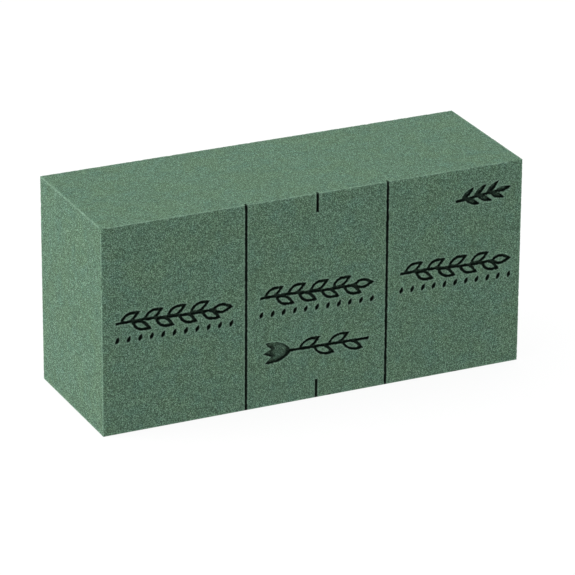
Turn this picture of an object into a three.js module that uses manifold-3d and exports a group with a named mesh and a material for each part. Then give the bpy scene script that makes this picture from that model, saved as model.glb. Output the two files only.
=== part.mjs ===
// Floral foam brick: a sawn block of rigid phenolic foam that is scored across its broad face into thirds.
// Each third is a solid of its own, and the three meet face to face behind the two score slits.
// Millimetres, +Z up. X runs along the length, the scored face looks towards -Y, and the origin is the
// middle of the long narrow side that the brick stands on.
import * as THREE from 'three';
import { mergeVertices } from 'three/addons/utils/BufferGeometryUtils.js';
import Module from 'manifold-3d';

const wasm = await Module();
wasm.setup();

// Driving dimensions. The pressing tool sits a little to the right of the brick's middle.
const brick = { length: 230, depth: 78, height: 110 };
const tool = { centreX: 0.8125, pitch: 77.375, tiltDegrees: -1.2 };
const score = { width: 1, depth: 2 }; // a full-height slit between two thirds
const tick = { width: 1, depth: 2, length: 10 }; // a short slit that marks the half
const press = { depth: 1.6, stroke: 1.25 }; // the pressed decoration
const overrun = 2; // how far a cutter stands out of the face that it cuts
const foamGreen = 0x5d8468;

const frontY = -brick.depth / 2;
const scoreX = [-1, 1].map((side) => tool.centreX + side * tool.pitch / 2);
const cutsX = [-brick.length / 2, ...scoreX, brick.length / 2];

// A closed three.js geometry as a solid that can be joined and cut.
function solidOf(geometry) {
  const bare = geometry.clone();
  bare.deleteAttribute('normal');
  bare.deleteAttribute('uv');
  const merged = mergeVertices(bare);
  return new wasm.Manifold(new wasm.Mesh({
    numProp: 3,
    vertProperties: new Float32Array(merged.attributes.position.array),
    triVerts: new Uint32Array(merged.index.array),
  }));
}

function geometryOf(solid) {
  const mesh = solid.getMesh();
  const geometry = new THREE.BufferGeometry();
  geometry.setAttribute('position', new THREE.BufferAttribute(mesh.vertProperties, 3));
  geometry.setIndex(new THREE.BufferAttribute(mesh.triVerts, 1));
  geometry.computeVertexNormals();
  return geometry;
}

// A box from its two corners.
function boxSolid(low, high) {
  const size = high.map((value, axis) => value - low[axis]);
  const geometry = new THREE.BoxGeometry(...size);
  geometry.translate(...low.map((value, axis) => value + size[axis] / 2));
  return solidOf(geometry);
}

// Outlines of the decoration, drawn flat with x to the right and y up.

// A pointed leaf that runs along x from start. With a negative half width it is drawn the other way round.
function leafPath(path, start, length, halfWidth) {
  const middle = start + length * 0.45;
  path.moveTo(start, 0);
  path.quadraticCurveTo(middle, halfWidth * 2, start + length, 0);
  path.quadraticCurveTo(middle, -halfWidth * 2, start, 0);
  return path;
}

function solidLeaf(length, halfWidth) {
  return leafPath(new THREE.Shape(), 0, length, halfWidth);
}

function openLeaf(length, halfWidth) {
  const leaf = solidLeaf(length, halfWidth);
  const start = press.stroke * 1.5;
  const inner = length - press.stroke * 3.5;
  leaf.holes.push(leafPath(new THREE.Path(), start, inner, press.stroke * 0.9 - halfWidth));
  return leaf;
}

// A stem of one stroke's width that waves about the x axis.
function stem(fromX, toX, wave) {
  const steps = 12;
  const along = (step) => fromX + (toX - fromX) * step / steps;
  const height = (step) => wave * Math.sin(Math.PI * 2 * step / steps);
  const shape = new THREE.Shape();
  shape.moveTo(along(0), height(0) - press.stroke / 2);
  for (let step = 1; step <= steps; step += 1) shape.lineTo(along(step), height(step) - press.stroke / 2);
  for (let step = steps; step >= 0; step -= 1) shape.lineTo(along(step), height(step) + press.stroke / 2);
  shape.closePath();
  return shape;
}

// The decoration is made of marks. Each mark is a shape that is turned by degrees and then moved to x and y,
// counted from the middle of its motif.
function mark(shape, x, y, degrees) {
  return { shape, x, y, degrees };
}

// A lying sprig with open leaves on alternate sides of its stem, and one at its tip.
function leafSprig() {
  const leafCount = 8;
  const gap = 6.2;
  const firstX = -29;
  const side = (index) => (index % 2 ? -1 : 1);
  const leaves = Array.from({ length: leafCount }, (_, index) => (
    mark(openLeaf(11.5, 2.5), firstX + gap * index, 0.3 * side(index), 24 * side(index))
  ));
  return [...leaves, mark(stem(-31, 21, 0.5), 0, 0, 0), mark(openLeaf(11.5, 2.6), 20, 0, 0)];
}

// A row of small slanted seeds.
function seedRow() {
  const seedCount = 11;
  const gap = 6.1;
  const firstX = -gap * (seedCount - 1) / 2;
  return Array.from({ length: seedCount }, (_, index) => (
    mark(solidLeaf(3.4, 0.8), firstX + gap * index - 0.5, -1.7, 68)
  ));
}

// A lying bloom of three full petals, on a stem with thin open leaves.
function bloomSpray() {
  const petals = [-21, 0, 21].map((turn) => mark(solidLeaf(15, 2.3), -14, 0, 180 + turn));
  const leaves = [-10, -2, 6, 14].map((x, index) => mark(openLeaf(13, 2.6), x, 0, index % 2 ? -22 : 22));
  return [...petals, ...leaves, mark(stem(-15, 29, 0), 0, 0, 0)];
}

// A small rising twig with full leaves.
function cornerTwig() {
  const leaf = solidLeaf(9, 1.35);
  const pairs = [-12, -5, 2].flatMap((x) => [mark(leaf, x, 0, 34), mark(leaf, x + 2, 0, -30)]);
  return [...pairs, mark(stem(-15, 9, 0), 0, 0, 0), mark(leaf, 7, 0, 2)];
}

// One mark as a cutter that reaches from before the front face to the press depth.
function markCutter({ shape, x, y, degrees }, centre, turnDegrees) {
  const geometry = new THREE.ExtrudeGeometry(shape, {
    depth: press.depth + overrun,
    bevelEnabled: false,
    curveSegments: 9,
  });
  geometry.rotateZ(THREE.MathUtils.degToRad(degrees));
  geometry.translate(x, y, 0);
  geometry.rotateZ(THREE.MathUtils.degToRad(turnDegrees));
  geometry.rotateX(Math.PI / 2);
  geometry.translate(centre.x, frontY + press.depth, centre.z);
  return solidOf(geometry);
}

function decorationCutters(marks, centre, turnDegrees = tool.tiltDegrees) {
  return marks.map((one) => markCutter(one, centre, turnDegrees));
}

// Slits that the blade of the pressing tool leaves.
function scoreCutter(x) {
  return boxSolid(
    [x - score.width / 2, frontY - overrun, -overrun],
    [x + score.width / 2, frontY + score.depth, brick.height + overrun],
  );
}

function tickCutters() {
  const low = tool.centreX - tick.width / 2;
  const high = tool.centreX + tick.width / 2;
  const back = frontY + tick.depth;
  return [
    boxSolid([low, frontY - overrun, -overrun], [high, back, tick.length]),
    boxSolid([low, frontY - overrun, brick.height - tick.length], [high, back, brick.height + overrun]),
  ];
}

// One third of the brick, from its number along X and what is pressed into it.
function third(index, name, cutters) {
  const low = [cutsX[index], frontY, 0];
  const high = [cutsX[index + 1], brick.depth / 2, brick.height];
  const slits = scoreX.map(scoreCutter);
  const cutter = [...slits, ...cutters].reduce((joined, next) => joined.add(next));
  const block = boxSolid(low, high).subtract(cutter);
  const material = new THREE.MeshStandardMaterial({ color: foamGreen, roughness: 0.95, metalness: 0 });
  const mesh = new THREE.Mesh(geometryOf(block), material);
  mesh.name = name;
  return mesh;
}

// Where the motifs go on the scored face.
const panelX = [-1, 0, 1].map((step) => tool.centreX + step * tool.pitch);
const sprigZ = 58.2;
const seedsZ = 49.4;
const bloomZ = 28;
const twigPlace = { x: panelX[2] + 14.5, z: 94.5 };
const twigRise = 6; // degrees
const sprigAndSeeds = panelX.map((x) => [
  ...decorationCutters(leafSprig(), { x, z: sprigZ }),
  ...decorationCutters(seedRow(), { x, z: seedsZ }),
]);
const bloom = decorationCutters(bloomSpray(), { x: panelX[1], z: bloomZ });
const twig = decorationCutters(cornerTwig(), twigPlace, twigRise);

const group = new THREE.Group();
group.add(third(0, 'left_third', sprigAndSeeds[0]));
group.add(third(1, 'middle_third', [...sprigAndSeeds[1], ...bloom, ...tickCutters()]));
group.add(third(2, 'right_third', [...sprigAndSeeds[2], ...twig]));

export default group;
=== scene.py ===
import math

import bmesh
import bpy
import numpy as np
from mathutils import Matrix, Vector, geometry
from mathutils.kdtree import KDTree


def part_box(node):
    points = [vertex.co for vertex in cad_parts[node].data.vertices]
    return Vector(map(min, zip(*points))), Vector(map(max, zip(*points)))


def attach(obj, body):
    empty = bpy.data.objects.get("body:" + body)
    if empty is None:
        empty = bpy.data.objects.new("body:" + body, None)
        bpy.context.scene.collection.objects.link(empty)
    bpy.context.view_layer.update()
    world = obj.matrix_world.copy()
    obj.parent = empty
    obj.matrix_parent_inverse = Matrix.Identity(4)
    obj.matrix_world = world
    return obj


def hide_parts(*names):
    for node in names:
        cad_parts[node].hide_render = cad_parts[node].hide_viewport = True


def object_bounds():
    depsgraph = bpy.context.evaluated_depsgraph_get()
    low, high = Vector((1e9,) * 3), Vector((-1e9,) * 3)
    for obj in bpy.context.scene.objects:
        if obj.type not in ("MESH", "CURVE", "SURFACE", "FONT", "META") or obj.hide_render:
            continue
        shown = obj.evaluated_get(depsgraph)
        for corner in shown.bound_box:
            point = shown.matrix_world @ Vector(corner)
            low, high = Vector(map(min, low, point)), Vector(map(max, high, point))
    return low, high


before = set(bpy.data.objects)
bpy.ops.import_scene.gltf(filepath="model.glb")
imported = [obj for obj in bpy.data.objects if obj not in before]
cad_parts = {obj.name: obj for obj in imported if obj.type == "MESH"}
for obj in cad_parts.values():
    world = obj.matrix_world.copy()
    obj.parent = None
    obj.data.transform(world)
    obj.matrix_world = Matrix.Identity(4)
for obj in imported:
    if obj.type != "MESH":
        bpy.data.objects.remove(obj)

# A brick of rigid floral foam, scored into three thirds. Every third is built on its own solid of the
# frame: the flat faces are tiled with small triangles, and a node tree then crumbles that skin.
thirds = ["left_third", "middle_third", "right_third"]
frameLow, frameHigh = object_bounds()
brickLow = np.array(frameLow)
brickHigh = np.array(frameHigh)
touch = 1e-6       # metres; what is closer than this to a plane lies in it
perMetre = 1000.0  # flat faces are tiled in millimetres


# Node work, for shader trees and geometry trees alike

class Wire:
    # one output socket; arithmetic on it adds the Math nodes
    def __init__(self, tree, socket=None):
        self.tree = tree
        self.socket = socket

    def add(self, kind, settings=None, sockets=None, output=0):
        # any node: first its settings, then the values or links of its sockets
        node = self.tree.nodes.new(kind)
        for name, value in (settings or {}).items():
            setattr(node, name, value)
        for key, value in (sockets or {}).items():
            target = pick(node.inputs, key)
            if isinstance(value, Wire):
                self.tree.links.new(value.socket, target)
            else:
                target.default_value = value
        return Wire(self.tree, pick(node.outputs, output) if node.outputs else None)

    def maths(self, operation, *values):
        return self.add("ShaderNodeMath", {"operation": operation}, dict(enumerate(values)))

    def vectors(self, operation, *values):
        return self.add("ShaderNodeVectorMath", {"operation": operation}, dict(enumerate(values)))

    def axes(self):
        # its x, y and z
        return [self.add("ShaderNodeSeparateXYZ", None, {"Vector": self}, axis) for axis in "XYZ"]

    def ramp(self, low, high):
        # 0 at low and 1 at high, with soft ends
        settings = {"interpolation_type": "SMOOTHSTEP", "clamp": True}
        return self.add("ShaderNodeMapRange", settings, {"Value": self, "From Min": low, "From Max": high})

    def __add__(self, other):
        return self.maths("ADD", self, other)

    def __radd__(self, other):
        return self.maths("ADD", other, self)

    def __sub__(self, other):
        return self.maths("SUBTRACT", self, other)

    def __rsub__(self, other):
        return self.maths("SUBTRACT", other, self)

    def __mul__(self, other):
        return self.maths("MULTIPLY", self, other)

    def __rmul__(self, other):
        return self.maths("MULTIPLY", other, self)

    def __abs__(self):
        return self.maths("ABSOLUTE", self)


def pick(sockets, key):
    # a socket by its place among those in use, or the first one in use that has that name
    inUse = [socket for socket in sockets if socket.enabled]
    if isinstance(key, int):
        return inUse[key]
    return next(socket for socket in inUse if socket.name == key)


# Tiling: the flat faces of a third, cut up into triangles that are small enough to crumble

tiling = {
    "weld": 5e-6,           # corners of the solid that are closer than this are one
    "shortest": 1e-7,       # an edge shorter than this is dropped
    "flatAngle": 0.6,       # degrees that two triangles of one flat face may differ
    "lipAngle": 30,         # degrees; the outer edges of slits and marks are sharper than this
    "fineStep": 0.42e-3,    # beside an edge
    "coarseStep": 0.95e-3,  # on the open face
    "fineBand": 1.5e-3,     # how far from an edge the tiles are fine
    "reach": 6e-3,          # from a slit or a mark; beyond it distances aren't told apart
    "clearance": 0.70,      # of a step, between a face's outline and the points inside it
    "jitter": 0.3,          # of a step
    "plainArea": 3e-6,      # a face smaller than this gets no points inside its outline
    "merge": 1e-5,          # millimetres; outline points closer than this are one
    "sliver": 1e-4,         # millimetres; a triangle lower than this lies on the outline itself
    "batch": 4000,          # points that are held against an outline at once
    "seed": 7,
}

# What the tiles tell the node tree about their points. The tree's result doesn't keep it.
tileLabels = {
    "outward": "FLOAT_VECTOR",
    "pressed": "FLOAT",      # how deep behind the front face
    "brim": "FLOAT",         # distance from the brick's own edges
    "lip": "FLOAT",          # distance from the nearest slit or mark
    "knock": "FLOAT_VECTOR",
    "loose": "FLOAT",        # 0 where the next third begins
}


class Third:
    # one third as the frame has it, welded, with its flat faces told apart
    def __init__(self, name):
        self.name = name
        self.mesh = weldedCopy(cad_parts[name])
        self.groups, self.groupOf = flatFaces(self.mesh)
        low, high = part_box(name)
        self.seams = {number for number, group in enumerate(self.groups) if isSeam(low, high, group)}


class Sheet:
    # the plane of a flat face, with places on it in millimetres
    def __init__(self, group):
        self.normal = group[0].normal.copy()
        up = Vector((0, 1, 0)) if abs(self.normal.z) > 0.9 else Vector((0, 0, 1))
        self.across = up.cross(self.normal).normalized()
        self.along = self.normal.cross(self.across)
        self.origin = group[0].verts[0].co.copy()

    def flat(self, point):
        offset = (point - self.origin) * perMetre
        return offset.dot(self.across), offset.dot(self.along)

    def point(self, place):
        return self.origin + (self.across * place[0] + self.along * place[1]) / perMetre

    def points(self, places):
        across, along = np.array(self.across), np.array(self.along)
        return np.array(self.origin) + (places[:, :1] * across + places[:, 1:] * along) / perMetre


class Skin:
    # collects the points and triangles of one third's tiled skin
    def __init__(self, mesh):
        self.points = [vert.co.copy() for vert in mesh.verts]
        self.outward = [Vector() for _ in mesh.verts]
        self.pressed = [0.0 for _ in mesh.verts]
        self.onSeam = set()
        self.triangles = []

    def addPoint(self, point):
        self.points.append(point)
        self.outward.append(Vector())
        self.pressed.append(0.0)
        return len(self.points) - 1


def weldedCopy(node):
    # the frame's mesh is loose triangles, so the copy is welded first
    mesh = bmesh.new()
    mesh.from_mesh(node.data)
    bmesh.ops.remove_doubles(mesh, verts=mesh.verts, dist=tiling["weld"])
    bmesh.ops.dissolve_degenerate(mesh, edges=mesh.edges, dist=tiling["shortest"])
    bmesh.ops.triangulate(mesh, faces=mesh.faces)
    mesh.normal_update()
    for sequence in (mesh.verts, mesh.edges, mesh.faces):
        sequence.index_update()
        sequence.ensure_lookup_table()
    return mesh


def flatFaces(mesh):
    # groups of triangles that lie in one plane; returns the groups and each triangle's group
    limit = math.radians(tiling["flatAngle"])
    groupOf = {}
    groups = []
    for seed in sorted(mesh.faces, key=lambda face: -face.calc_area()):
        if seed in groupOf:
            continue
        group = [seed]
        groupOf[seed] = len(groups)
        for face in group:
            near = (other for edge in face.edges for other in edge.link_faces)
            for other in near:
                if other not in groupOf and other.normal.angle(seed.normal, 0) < limit:
                    groupOf[other] = len(groups)
                    group.append(other)
        groups.append(group)
    return groups, groupOf


def isSeam(low, high, group):
    # the face behind a score slit, where one third touches the next
    x = group[0].calc_center_median().x
    onSide = min(abs(x - low.x), abs(x - high.x)) < touch
    onBrick = min(abs(x - brickLow[0]), abs(x - brickHigh[0])) < touch
    return abs(group[0].normal.x) > 0.99 and onSide and not onBrick


def isSkin(group):
    # a face of the brick's own box, not one of a slit or a mark
    centre = np.array(group[0].calc_center_median())
    return min(np.abs(centre - brickLow).min(), np.abs(centre - brickHigh).min()) < touch


def placeOrder(point):
    # sorts two ends of an edge the same way in every third
    return tuple(round(value, 6) for value in point)


def splitEdge(edge, step):
    # points along an edge, the same whichever way round it is read
    ends = sorted((vert.co for vert in edge.verts), key=placeOrder)
    count = max(1, round((ends[1] - ends[0]).length / step))
    return [ends[0].lerp(ends[1], number / count) for number in range(1, count)]


def treeOf(points):
    tree = KDTree(len(points))
    for number, point in enumerate(points):
        tree.insert(point, number)
    tree.balance()
    return tree


def cutLips(blocks):
    # a tree of points along the outer edges of all slits and marks
    sharpest = math.radians(tiling["lipAngle"])
    points = []
    for block in blocks:
        for edge in block.mesh.edges:
            sides = {block.groupOf[face] for face in edge.link_faces}
            if len(sides) < 2 or sides & block.seams or edge.calc_face_angle_signed(0) < sharpest:
                continue
            if all(isSkin(block.groups[side]) for side in sides):
                continue
            points += [vert.co for vert in edge.verts] + splitEdge(edge, tiling["fineStep"] / 2)
    return treeOf(points)


def brimDistance(points):
    # from a point on the brick's skin to the nearest of the brick's own twelve edges
    inset = np.minimum(points - brickLow, brickHigh - points)
    return np.sort(inset, axis=1)[:, 1]


def lipDistance(points, lips):
    # from a point to the nearest slit or mark; they are all in the front, so the rest is far
    reach = tiling["reach"]
    distance = np.full(len(points), reach)
    for number in np.flatnonzero(points[:, 1] < brickLow[1] + reach):
        distance[number] = min(reach, lips.find(points[number])[2])
    return distance


def insideOutline(points, starts, ends):
    # even-odd rule, for a flat outline given as the two ends of its edges
    answer = np.zeros(len(points), bool)
    rise = ends[:, 1] - starts[:, 1]
    slope = (ends[:, 0] - starts[:, 0]) / np.where(rise == 0, 1, rise)
    for first in range(0, len(points), tiling["batch"]):
        batch = slice(first, first + tiling["batch"])
        x, y = points[batch, 0:1], points[batch, 1:2]
        spans = (starts[:, 1] > y) != (ends[:, 1] > y)
        left = x < starts[:, 0] + (y - starts[:, 1]) * slope
        answer[batch] = (spans & left).sum(1) % 2 == 1
    return answer


def scatter(low, high, step, dice):
    # a jittered grid over a flat box
    counts = np.maximum(np.ceil((high - low) / step).astype(int), 1)
    grid = np.stack(np.meshgrid(*(np.arange(count) + 0.5 for count in counts)), -1).reshape(-1, 2)
    return low + (grid + dice.uniform(-1, 1, grid.shape) * tiling["jitter"]) * step


def innerPlaces(sheet, outline, starts, ends, lips, dice):
    # jittered places inside a face's outline, closer together beside edges, slits and marks
    rim = treeOf([(*place, 0) for place in outline])
    kept = []
    for spacing, isFine in ((tiling["fineStep"], True), (tiling["coarseStep"], False)):
        step = spacing * perMetre
        places = scatter(outline.min(0), outline.max(0), step, dice)
        points = sheet.points(places)
        nearest = np.minimum(brimDistance(points), lipDistance(points, lips))
        places = places[(nearest < tiling["fineBand"]) == isFine]
        places = places[insideOutline(places, starts, ends)]
        free = [rim.find((*place, 0))[2] > tiling["clearance"] * step for place in places]
        kept.append(places[np.array(free, bool)])
    return np.vstack(kept)


def keptTriangles(corners, starts, ends):
    # those inside the outline that have some height
    sides = np.roll(corners, -1, axis=1) - corners
    doubleArea = np.abs(sides[:, 0, 0] * sides[:, 1, 1] - sides[:, 0, 1] * sides[:, 1, 0])
    height = doubleArea / np.linalg.norm(sides, axis=2).max(1)
    return insideOutline(corners.mean(1), starts, ends) & (height > tiling["sliver"])


def tileFace(skin, block, number, edgePoints, lips, dice):
    # one flat face: its outline, jittered points inside it, and a triangulation that keeps the outline
    group = block.groups[number]
    isOnSeam = number in block.seams
    sheet = Sheet(group)
    edges = {edge for face in group for edge in face.edges if edge.index in edgePoints}
    chains = sorted(edgePoints[edge.index] for edge in edges)
    rows = {}
    for chain in chains:
        for corner in chain:
            rows.setdefault(corner, len(rows))
    outline = np.array([sheet.flat(skin.points[corner]) for corner in rows])
    bars = [(rows[a], rows[b]) for chain in chains for a, b in zip(chain, chain[1:])]
    starts, ends = outline[np.array(bars)].transpose(1, 0, 2)
    known = list(rows)
    area = sum(face.calc_area() for face in group)
    if not isOnSeam and area > tiling["plainArea"]:
        inner = innerPlaces(sheet, outline, starts, ends, lips, dice)
        known += [skin.addPoint(sheet.point(place)) for place in inner]
        outline = np.vstack([outline, inner])
    places = [Vector(place) for place in outline]
    places, _, triangles, sources, *_ = geometry.delaunay_2d_cdt(places, bars, [], 0, tiling["merge"], True)
    index = []
    for place, source in zip(places, sources):
        index.append(known[source[0]] if source else skin.addPoint(sheet.point(place)))
    triangles = np.array(triangles)
    keep = keptTriangles(np.array(places)[triangles], starts, ends)
    skin.triangles += [[index[corner] for corner in triangle] for triangle in triangles[keep]]
    if isOnSeam:
        skin.onSeam.update(index)
        return
    isCut = not isSkin(group)
    for corner in set(index):
        skin.outward[corner] += sheet.normal
        if isCut:
            skin.pressed[corner] = max(skin.pressed[corner], skin.points[corner].y - brickLow[1])


def tileThird(block, lips):
    dice = np.random.default_rng(tiling["seed"] + thirds.index(block.name))
    skin = Skin(block.mesh)
    edgePoints = {}
    for edge in block.mesh.edges:
        if len({block.groupOf[face] for face in edge.link_faces}) < 2:
            continue
        first, last = sorted(edge.verts, key=lambda vert: placeOrder(vert.co))
        middle = [skin.addPoint(point) for point in splitEdge(edge, tiling["fineStep"])]
        edgePoints[edge.index] = [first.index, *middle, last.index]
    for number in range(len(block.groups)):
        tileFace(skin, block, number, edgePoints, lips, dice)
    return skin


# Knocks on the brick's own edges: where, how far round and how deep, in metres
knockWidth = 0.0024  # how far a knock reaches away from the edge, at most
knocks = [
    ((0.0081, -1, 0), 0.0009, 0.0006),   # x, front or back, and share of the brick's height
    ((0.1106, -1, 1), 0.0042, 0.00075),
    ((-0.1150, -1, 1), 0.0030, 0.0006),
    ((-0.1150, -1, 0.73), 0.0038, 0.0007),
    ((-0.0640, 1, 0), 0.0030, 0.0010),
    ((0.1150, 1, 0), 0.0035, 0.0009),
    ((0.0790, -1, 0), 0.0018, 0.0004),
]


def knockShift(points):
    # how far the knocks push each point, straight into the brick
    shift = np.zeros((len(points), 3))
    for (x, sideY, high), radius, deepest in knocks:
        place = np.array([x, brickHigh[1] * sideY, brickHigh[2] * high])
        inward = (np.abs(place - brickLow) < touch) * 1.0 - (np.abs(place - brickHigh) < touch)
        away = np.clip(np.linalg.norm(points - place, axis=1) / radius, 0, 1)
        beside = np.clip(brimDistance(points) / min(radius, knockWidth), 0, 1)
        depth = deepest * (1 - away ** 3) * (1 - beside) ** 1.5
        shift += depth[:, None] * inward / np.linalg.norm(inward)
    return shift


def meshOfSkin(name, skin, lips):
    # the tiles as a mesh that carries what tileLabels lists
    triangles = np.array(skin.triangles)
    used = np.unique(triangles)
    fresh = np.full(len(skin.points), -1)
    fresh[used] = np.arange(len(used))
    points = np.array(skin.points)[used]
    mesh = bpy.data.meshes.new(name)
    mesh.from_pydata(points.tolist(), [], fresh[triangles].tolist())
    values = {
        "outward": np.array([tuple(skin.outward[number].normalized()) for number in used]),
        "pressed": np.array(skin.pressed)[used],
        "brim": brimDistance(points),
        "lip": lipDistance(points, lips),
        "knock": knockShift(points),
        "loose": np.array([number not in skin.onSeam for number in used], float),
    }
    for label, kind in tileLabels.items():
        layer = mesh.attributes.new(label, kind, "POINT")
        layer.data.foreach_set("vector" if kind == "FLOAT_VECTOR" else "value", values[label].ravel())
    return mesh


# The foam's material

foam = {
    "dark": 0.43,            # the darkest and the palest cell, as shares of the colour
    "pale": 2.55,
    "color": (0.1085, 0.194, 0.130),
    "cellSize": 0.00028,     # metres
    "speckSize": 0.0010,
    "speckEdge": (0.1, 0.42),             # a speck's core and its rim, as shares of its cell
    "speck": (0.30, 0.46, 0.36, 1),       # burst cells that catch the light
    "cloudSize": 0.018,
    "cloudRange": (0.42, 0.62),           # the part of the noise over which a tint fades in
    "warm": (1.015, 0.995, 0.95, 1),
    "patchSize": 0.006,
    "patchRange": (0.48, 0.7),
    "cool": (0.965, 1.0, 1.04, 1),
    "dustAndHighlight": (0.26, 0.42, 0.31, 1),         # rubbed edges: dust, and a painted highlight where the edges catch the lamps
    "crushedAndShade": (0.004, 0.010, 0.0065, 1),  # pressed and cut foam, and painted shade inside slits and marks
    "relief": 0.00025,
    "reliefStrength": 0.45,
    "reliefTone": 0.5,       # how much a cell's tone counts in the relief
    "reliefHollow": 0.6,     # and its hollow
    "roughness": 0.95,
    "shine": 0.15,
}


def foamMaterial():
    material = bpy.data.materials.new("green_foam")
    material.use_nodes = True
    tree = material.node_tree
    tree.nodes.clear()
    wire = Wire(tree)
    place = wire.add("ShaderNodeTexCoord", output="Object")

    def attribute(name):
        return wire.add("ShaderNodeAttribute", {"attribute_name": name}, output="Fac")

    def noise(size, detail=0.0):
        return wire.add("ShaderNodeTexNoise", None, {"Vector": place, "Scale": 1 / size, "Detail": detail})

    def cells(size, output):
        return wire.add("ShaderNodeTexVoronoi", None, {"Vector": place, "Scale": 1 / size}, output)

    def red(color):
        return wire.add("ShaderNodeSeparateColor", None, {"Color": color}, "Red")

    def mix(a, b, factor, blend="MIX"):
        settings = {"data_type": "RGBA", "blend_type": blend}
        return wire.add("ShaderNodeMix", settings, {"Factor": factor, "A": a, "B": b}, "Result")

    def shade(amount):
        return tuple(value * amount for value in foam["color"]) + (1,)

    # the cells' contrast is set per face for how the light falls there: painted shading
    grainByLight = attribute("grainByLight")
    tone = red(cells(foam["cellSize"], "Color"))
    cellColor = mix(shade(foam["dark"]), shade(foam["pale"]), tone * tone * tone)  # few cells are pale
    color = mix(shade(1), cellColor, grainByLight)
    speck = 1 - cells(foam["speckSize"], "Distance").ramp(*foam["speckEdge"])
    speck = speck * red(cells(foam["speckSize"], "Color")) * grainByLight
    color = mix(color, foam["speck"], speck)
    clouds = noise(foam["cloudSize"], 2.0).ramp(*foam["cloudRange"])
    color = mix(color, foam["warm"], clouds, "MULTIPLY")
    patches = noise(foam["patchSize"], 1.0).ramp(*foam["patchRange"])
    color = mix(color, foam["cool"], patches, "MULTIPLY")
    # pale edges: dust, and a painted highlight along the lit edges
    color = mix(color, foam["dustAndHighlight"], attribute("wearAndHighlight"))
    # dark cuts: crushed foam, and painted shade inside slits and marks and along their lips
    color = mix(color, foam["crushedAndShade"], attribute("crushedAndShade"))
    hollow = cells(foam["cellSize"], "Distance") * foam["reliefHollow"]
    bump = wire.add("ShaderNodeBump", None, {
        "Height": tone * foam["reliefTone"] + noise(foam["cellSize"]) - hollow,
        "Strength": foam["reliefStrength"],
        "Distance": foam["relief"],
    }, "Normal")
    shader = wire.add("ShaderNodeBsdfPrincipled", None, {
        "Base Color": color,
        "Roughness": foam["roughness"],
        "Normal": bump,
        "Specular IOR Level": foam["shine"],
    })
    wire.add("ShaderNodeOutputMaterial", None, {"Surface": shader})
    return material


# The crumbling skin, as a geometry node tree. These are its inputs, in metres.

crumble = {
    "Edge Rounding": 0.00007,  # how far the brick's own edges are rubbed back
    "Edge Reach": 0.0006,
    "Rim Width": 0.0010,       # of the pale line along the narrow sides' edges: dust, and a painted highlight
    "Chip Depth": 0.00016,
    "Chip Size": 0.0024,
    "Lip Rounding": 0.00008,
    "Lip Reach": 0.0005,
    "Lip Rim Start": 0.0004,   # the pale line beside a slit or a mark fades between these two
    "Lip Rim": 0.0011,
    "Wall Roughness": 0.00016,
    "Grain Depth": 0.00005,
    "Grain Size": 0.0024,
    "Tear": 0.00070,           # how far slits and marks are torn sideways
    "Tear Size": 0.0012,
    "Tear Start": 0.0010,      # tearing fades between these distances from a lip
    "Tear End": 0.0018,
    "Level Band": 0.0008,      # and isn't up or down this close to the top and the bottom
    "Nibble": 0.0007,          # how far a lip's dark edge frays outwards
    "Rough Slit": 0.039,       # x of the slit that is torn more than the other
    "Cut Depth": 0.00002,      # what is deeper than this belongs to a slit or a mark
    "Mark Depth": 0.0016,
    "Top": brickHigh[2],
    "Seed": 3.0,
}

# Noise of the skin: which size it has and what share of it, how its seed is shifted, its detail, and the
# part of its range that is spread over 0 to 1
crumbs = {
    "chips": ("Chip Size", 1.0, 0.0, 1.0, (0.52, 0.78)),
    "bites": ("Chip Size", 0.35, 5.0, 0.0, (0.45, 0.8)),
    "specks": ("Chip Size", 0.25, 17.0, 0.0, (0.45, 0.7)),
    "grain": ("Grain Size", 1.0, 9.0, 1.0, (0.3, 0.75)),
    "rough": ("Grain Size", 0.35, 13.0, 1.0, None),
    "nibbles": ("Tear Size", 0.7, 27.0, 0.0, (0.48, 0.62)),
}
tearShift = 21.0

# How strong the tree's parts are, as shares
shares = {
    "edgeWear": (0.4, 1.2),     # rubbing of the brick's edges: even, and what bites add
    "lipWear": (0.5, 2.0),      # the same on lips
    "roughSlit": 0.6,           # how much more the rough slit is torn
    "rim": (0.12, 0.55),        # dust and a painted highlight on the brick's edges: on broad faces, and more on the narrow ones, where the lamps fall
    "rimSpecks": (0.4, 1.35),   # even, and what specks add
    "lipRim": 0.42,
    "wall": 0.98,               # how crushed and shaded the inside of a slit or a mark is: painted shade
    "markFloor": (0.1, 0.45),   # how much less painted shade a mark's floor has, and more so in the middle of a wide mark
    "lip": 0.9,
    "slitEnd": 0.8,             # how much of it the top end of a slit lacks
    "fainterShadeFront": 0.1,         # how much weaker the cells' pattern is on the front and back: painted shading, set for how the light falls on each face
    # and on the top and bottom, for the same painted shading
    "fainterShadeTop": 0.22,
}

# Where something fades in. Lengths are in metres; a slope is 1 on a face that looks straight forward
# or back.
fades = {
    "roughSlit": (0.001, 0.0015),    # length: beyond the rough slit
    "narrowSide": (0.8, 1.0),        # slope: beyond the narrow sides
    "knock": (0.0001, 0.0004),       # length: how far a point is knocked in
    "markFloor": (0.75, 0.98),       # slope: the floor of a mark
    "belowMark": 0.0002,             # length: from the marks' depth to what belongs to a slit
    "wideMark": 0.0003,              # length: from the marks' depth, counted from the lip
    "pressed": (0.0, 0.0003),        # length: from the skin to the inside of a cut
    "slitTop": (0.0, 0.0012),        # length: down from the brick's top
    "slitDepth": (0.0003, 0.001),    # length: into the slit's top end
    "lipEdge": 0.0001,               # length: the least width of a lip's dark edge, crushed foam and painted shade
}


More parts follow.
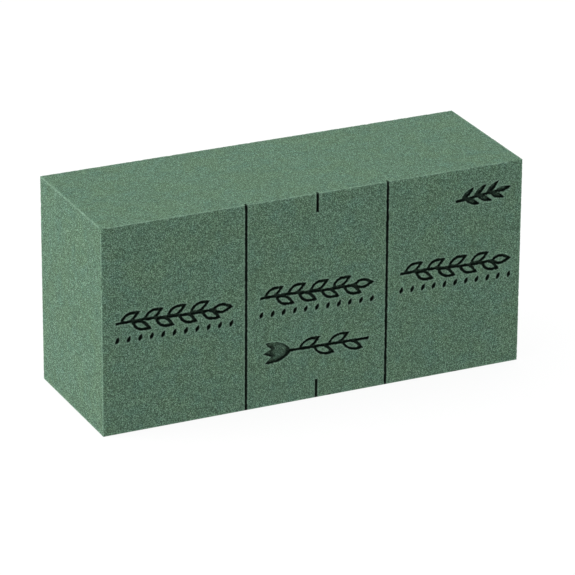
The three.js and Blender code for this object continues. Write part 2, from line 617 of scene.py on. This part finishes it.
def skinReadings(wire, value):
    # what the tiles say about a point, and the noise there
    read = {"place": wire.add("GeometryNodeInputPosition")}
    for label, kind in tileLabels.items():
        settings = {"data_type": kind}
        read[label] = wire.add("GeometryNodeInputNamedAttribute", settings, {"Name": label}, "Attribute")
    for name, (size, share, shift, detail, reach) in crumbs.items():
        field = skinNoise(wire, value, read["place"], value[size] * share, shift, detail)
        read[name] = field.ramp(*reach) if reach else field - 0.5
    read["isCut"] = wire.maths("GREATER_THAN", read["pressed"], value["Cut Depth"])
    return read


def skinNoise(wire, value, place, size, shift, detail, output=0):
    return wire.add("ShaderNodeTexNoise", {"noise_dimensions": "4D"}, {
        "Vector": place,
        "W": value["Seed"] + shift,
        "Scale": wire.maths("DIVIDE", 1.0, size),
        "Detail": detail,
    }, output)


def inwardDepth(value, read):
    # wear on the brick's edges and on lips, faint waves on the skin, and rough walls
    even, bitten = shares["edgeWear"]
    nearBrim = 1 - read["brim"].ramp(0.0, value["Edge Reach"])
    worn = value["Edge Rounding"] * (even + bitten * read["bites"]) + value["Chip Depth"] * read["chips"]
    depth = nearBrim * worn + value["Grain Depth"] * read["grain"] * (1 - read["isCut"])
    even, bitten = shares["lipWear"]
    nearLip = (1 - read["lip"].ramp(0.0, value["Lip Reach"])) * (1 - nearBrim)
    depth = depth + nearLip * value["Lip Rounding"] * (even + read["bites"] * bitten)
    return depth + read["isCut"] * (1 - nearBrim) * value["Wall Roughness"] * read["rough"] * 2.0


def tornAside(wire, value, read):
    # slits and marks are torn in the plane of the front face
    x, _, height = read["place"].axes()
    band = value["Level Band"]
    level = (value["Top"] - height).ramp(0.0, band) * height.ramp(0.0, band)
    onRough = 1 - abs(x - value["Rough Slit"]).ramp(*fades["roughSlit"])
    reach = 1 - read["lip"].ramp(value["Tear Start"], value["Tear End"])
    reach = reach * read["loose"] * (1 + onRough * shares["roughSlit"])
    wobble = skinNoise(wire, value, read["place"], value["Tear Size"], tearShift, 1.0, "Color")
    tear = value["Tear"]
    sideways = wire.add("ShaderNodeCombineXYZ", None, {0: tear, 1: 0.0, 2: tear * level})
    centred = wire.vectors("SUBTRACT", wobble, (0.5, 0.5, 0.5))
    return wire.vectors("SCALE", wire.vectors("MULTIPLY", centred, sideways), reach)


def crumbledPlace(wire, value, read):
    # where a point goes; it never leaves the brick's box
    pushed = wire.vectors("SCALE", read["outward"], 0 - inwardDepth(value, read))
    pushed = wire.vectors("ADD", read["knock"], pushed)
    torn = wire.vectors("ADD", read["place"], tornAside(wire, value, read))
    target = wire.vectors("MAXIMUM", wire.vectors("ADD", torn, pushed), tuple(brickLow))
    return wire.vectors("MINIMUM", target, tuple(brickHigh))


def skinMasks(wire, value, read):
    # how dusty and lit the foam's edges are (painted highlight), how crushed and shaded its cuts are
    # (painted shade), and how strong its cells' pattern is on each face for how the light falls (painted
    # shading)
    pressed, lip, deepest = read["pressed"], read["lip"], value["Mark Depth"]
    isCut = read["isCut"]
    sideY, sideZ = [abs(side) for side in read["outward"].axes()[1:]]
    broad, narrow = shares["rim"]
    even, specked = shares["rimSpecks"]
    # the narrow sides, where the lamps fall, get more of the painted highlight
    isNarrow = 1 - sideY.ramp(*fades["narrowSide"])
    rim = (1 - read["brim"].ramp(0.0, value["Rim Width"])) * (broad + isNarrow * narrow)
    rim = rim * (even + specked * read["specks"])
    isKnocked = wire.vectors("LENGTH", read["knock"]).ramp(*fades["knock"])
    lipRim = (1 - lip.ramp(value["Lip Rim Start"], value["Lip Rim"])) * (1 - isCut) * shares["lipRim"]
    isFloor = sideY.ramp(*fades["markFloor"])
    isFloor = isFloor * (1 - pressed.ramp(deepest, deepest + fades["belowMark"]))
    isWide = lip.ramp(deepest, deepest + fades["wideMark"])
    floor, wide = shares["markFloor"]
    # painted shade inside slits and marks, lighter on the open floors of wide marks
    inside = pressed.ramp(*fades["pressed"]) * (shares["wall"] - isFloor * (floor + isWide * wide))
    # a dark frayed edge along each lip: crushed foam and painted shade
    frayed = fades["lipEdge"] + read["nibbles"] * value["Nibble"]
    onLip = (1 - lip.ramp(0.0, frayed)) * (1 - isCut) * shares["lip"]
    topGap = value["Top"] - read["place"].axes()[2]
    isSlitEnd = (1 - topGap.ramp(*fades["slitTop"])) * pressed.ramp(*fades["slitDepth"])
    return {
        "wearAndHighlight": rim * (1 - isKnocked) + lipRim,
        "crushedAndShade": wire.maths("MAXIMUM", inside, onLip) * (1 - isSlitEnd * shares["slitEnd"]),
        "grainByLight": 1 - sideY * shares["fainterShadeFront"] - sideZ * shares["fainterShadeTop"],
    }


def skinTree(material):
    tree = bpy.data.node_groups.new("foamSkin", "GeometryNodeTree")
    face = tree.interface
    face.new_socket("Geometry", in_out="INPUT", socket_type="NodeSocketGeometry")
    for name, size in crumble.items():
        face.new_socket(name, in_out="INPUT", socket_type="NodeSocketFloat").default_value = size
    face.new_socket("Geometry", in_out="OUTPUT", socket_type="NodeSocketGeometry")
    group = tree.nodes.new("NodeGroupInput")
    value = {socket.name: Wire(tree, socket) for socket in group.outputs if socket.name}
    wire = Wire(tree)
    read = skinReadings(wire, value)
    target = crumbledPlace(wire, value, read)
    skin = wire.add("GeometryNodeSetPosition", None, {"Geometry": value["Geometry"], "Position": target})
    for name, mask in skinMasks(wire, value, read).items():
        settings = {"data_type": "FLOAT", "domain": "POINT"}
        sockets = {"Geometry": skin, "Name": name, "Value": mask}
        skin = wire.add("GeometryNodeStoreNamedAttribute", settings, sockets)
    skin = wire.add("GeometryNodeRealizeInstances", None, {"Geometry": skin})
    skin = wire.add("GeometryNodeSetMaterial", None, {"Geometry": skin, "Material": material})
    tree.links.new(skin.socket, tree.nodes.new("NodeGroupOutput").inputs[0])
    return tree


sharpAngle = 55  # degrees; the finished skin is shaded smooth across edges blunter than this


def crumbled(name, mesh, tree):
    # the tiled mesh through the node tree, as a plain mesh
    carrier = bpy.data.objects.new(name + "_tiles", mesh)
    bpy.context.scene.collection.objects.link(carrier)
    modifier = carrier.modifiers.new("skin", "NODES")
    modifier.node_group = tree
    for item in tree.interface.items_tree:
        if item.in_out == "INPUT" and item.name in crumble:
            modifier[item.identifier] = crumble[item.name]
    bpy.context.view_layer.update()
    evaluated = carrier.evaluated_get(bpy.context.evaluated_depsgraph_get())
    plain = bpy.data.meshes.new_from_object(evaluated)
    carrier.modifiers.remove(modifier)
    bpy.data.objects.remove(carrier)
    for label in tileLabels:
        plain.attributes.remove(plain.attributes[label])
    plain.shade_smooth()
    plain.set_sharp_from_angle(angle=math.radians(sharpAngle))
    plain.name = name
    piece = bpy.data.objects.new(name, plain)
    bpy.context.scene.collection.objects.link(piece)
    return piece


def buildBrick():
    tree = skinTree(foamMaterial())
    blocks = [Third(name) for name in thirds]
    lips = cutLips(blocks)
    for block in blocks:
        skin = tileThird(block, lips)
        tiles = meshOfSkin(block.name, skin, lips)
        block.mesh.free()
        piece = crumbled(block.name.replace("_third", "_foam_block"), tiles, tree)
        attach(piece, "root")
        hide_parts(block.name)
        print(f"{piece.name}: {len(piece.data.polygons)} triangles, {len(block.seams)} seam faces")


# Floor, light and camera

studio = {
    "floorSize": 12.0,
    "floorColor": (0.1, 0.1, 0.1, 1),
    "tableGlow": 0.92,
    "glowEdge": 2e-4,       # the floor's glow ends this sharply under the brick, which leaves a painted shadow there
    "skyColor": (0.97, 1.0, 1.03, 1),
    "skyStrength": 0.516,
    "lampColor": (1.02, 1.0, 0.97),
    "lampAim": (0, 0, 0.05),
}

softboxes = {  # place, size and power
    "left_softbox": ((-2.2, 0.8, 1.1), 1.6, 44.8),
    "top_softbox": ((0.0, 0.4, 2.4), 2.0, 28.0),
}

view = {
    "target": (0.00301, 0.0, 0.04451),
    "distance": 2.10807,
    "azimuth": -25.253,
    "elevation": 22.650,
    "roll": 0.345,
    "lens": 260.6,
    "sensor": 36.0,
}


def layFloor():
    half = studio["floorSize"] / 2
    mesh = bpy.data.meshes.new("floor")
    corners = [(-half, -half, 0), (half, -half, 0), (half, half, 0), (-half, half, 0)]
    mesh.from_pydata(corners, [], [(0, 1, 2, 3)])
    floor = bpy.data.objects.new("floor", mesh)
    bpy.context.scene.collection.objects.link(floor)
    material = bpy.data.materials.new("pale_floor")
    material.use_nodes = True
    shader = material.node_tree.nodes["Principled BSDF"]
    shader.inputs["Base Color"].default_value = studio["floorColor"]
    shader.inputs["Roughness"].default_value = 1.0
    shader.inputs["Specular IOR Level"].default_value = 0.0
    shader.inputs["Emission Strength"].default_value = studio["tableGlow"]
    wire = Wire(material.node_tree)
    # the floor glows beside the brick only; under it the dark floor is a painted shadow
    offCentre = [abs(axis) for axis in wire.add("ShaderNodeTexCoord", output="Object").axes()[:2]]
    beyond = [axis.ramp(edge - studio["glowEdge"], edge) for axis, edge in zip(offCentre, brickHigh)]
    isBeside = wire.maths("MAXIMUM", *beyond)
    glow = wire.add("ShaderNodeCombineColor", None, {0: isBeside, 1: isBeside, 2: isBeside})
    material.node_tree.links.new(glow.socket, shader.inputs["Emission Color"])
    mesh.materials.append(material)


def hangLight(name, place, size, power):
    lamp = bpy.data.lights.new(name, "AREA")
    lamp.shape = "SQUARE"
    lamp.size = size
    lamp.energy = power
    lamp.color = studio["lampColor"]
    light = bpy.data.objects.new(name, lamp)
    light.location = place
    aim = Vector(studio["lampAim"]) - Vector(place)
    light.rotation_euler = aim.to_track_quat("-Z", "Y").to_euler()
    bpy.context.scene.collection.objects.link(light)


def setLights():
    world = bpy.data.worlds.new("studio")
    bpy.context.scene.world = world
    world.use_nodes = True
    world.node_tree.nodes.clear()
    wire = Wire(world.node_tree)

    def background(color, strength):
        return wire.add("ShaderNodeBackground", None, {"Color": color, "Strength": strength})

    light = background(studio["skyColor"], studio["skyStrength"])
    backdrop = background((1, 1, 1, 1), 1.0)
    seen = wire.add("ShaderNodeLightPath", output="Is Camera Ray")
    both = wire.add("ShaderNodeMixShader", None, {0: seen, 1: light, 2: backdrop})
    wire.add("ShaderNodeOutputWorld", None, {"Surface": both})
    for name, (place, size, power) in softboxes.items():
        hangLight(name, place, size, power)
    bpy.context.scene.view_settings.view_transform = "Standard"


def setCamera():
    azimuth = math.radians(view["azimuth"])
    elevation = math.radians(view["elevation"])
    back = Vector((
        math.sin(azimuth) * math.cos(elevation),
        -math.cos(azimuth) * math.cos(elevation),
        math.sin(elevation),
    ))
    lens = bpy.data.cameras.new("camera")
    lens.lens = view["lens"]
    lens.sensor_width = view["sensor"]
    camera = bpy.data.objects.new("camera", lens)
    turn = back.to_track_quat("Z", "Y").to_matrix() @ Matrix.Rotation(math.radians(view["roll"]), 3, "Z")
    camera.rotation_euler = turn.to_euler()
    camera.location = Vector(view["target"]) + back * view["distance"]
    bpy.context.scene.collection.objects.link(camera)
    bpy.context.scene.camera = camera


print("camera, floor and lights")
setCamera()
layFloor()
setLights()
print("foam blocks")
buildBrick()
